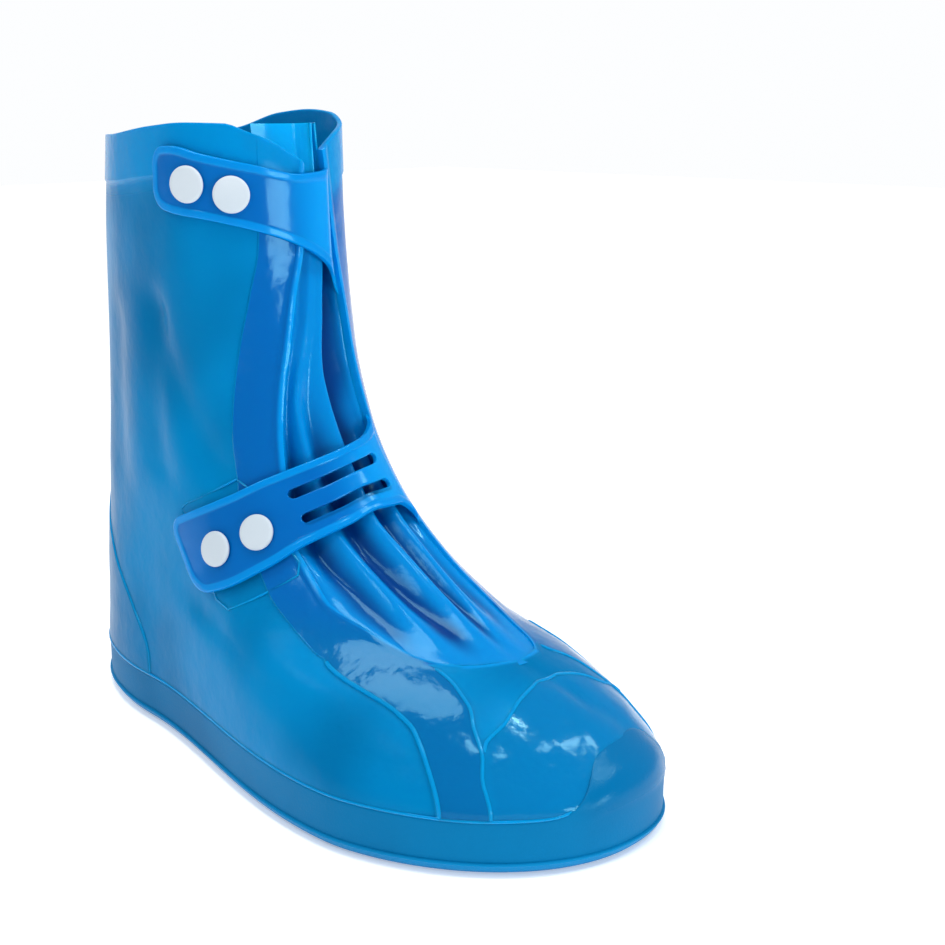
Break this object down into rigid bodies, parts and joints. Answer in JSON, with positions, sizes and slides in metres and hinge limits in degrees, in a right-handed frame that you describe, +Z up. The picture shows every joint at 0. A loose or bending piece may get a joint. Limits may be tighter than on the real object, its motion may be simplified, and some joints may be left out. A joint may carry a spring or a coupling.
{
  "type": "waterproof shoe cover",
  "caption": "Waterproof boot-shaped shoe cover for a right foot, pulled over a shoe, with a pleated front closed by snap straps.",
  "frame": {"origin": "on the floor under the middle of the sole", "axes": "+Z up, -Y towards the toe, -X towards the wearer's outer side"},
  "size_m": [0.1271, 0.3021, 0.259],
  "materials": {
    "sole": "matte moulded PVC",
    "foxing": "fine-grained matte PVC",
    "panel": "satin translucent PVC",
    "pleat": "glossy thin PVC",
    "strap": "glossy translucent PVC",
    "snap": "matte white plastic"
  },
  "bodies": {
    "root": {"outsole": "sole", "foxing": "foxing", "upper": "panel", "front_gusset": "pleat", "top_strap": "strap", "ankle_strap": "strap", "top_snap_rear_cap": "snap", "top_snap_rear_post": "snap", "top_snap_front_cap": "snap", "top_snap_front_post": "snap", "ankle_snap_rear_cap": "snap", "ankle_snap_rear_post": "snap", "ankle_snap_front_cap": "snap", "ankle_snap_front_post": "snap"}
  },
  "joints": []
}
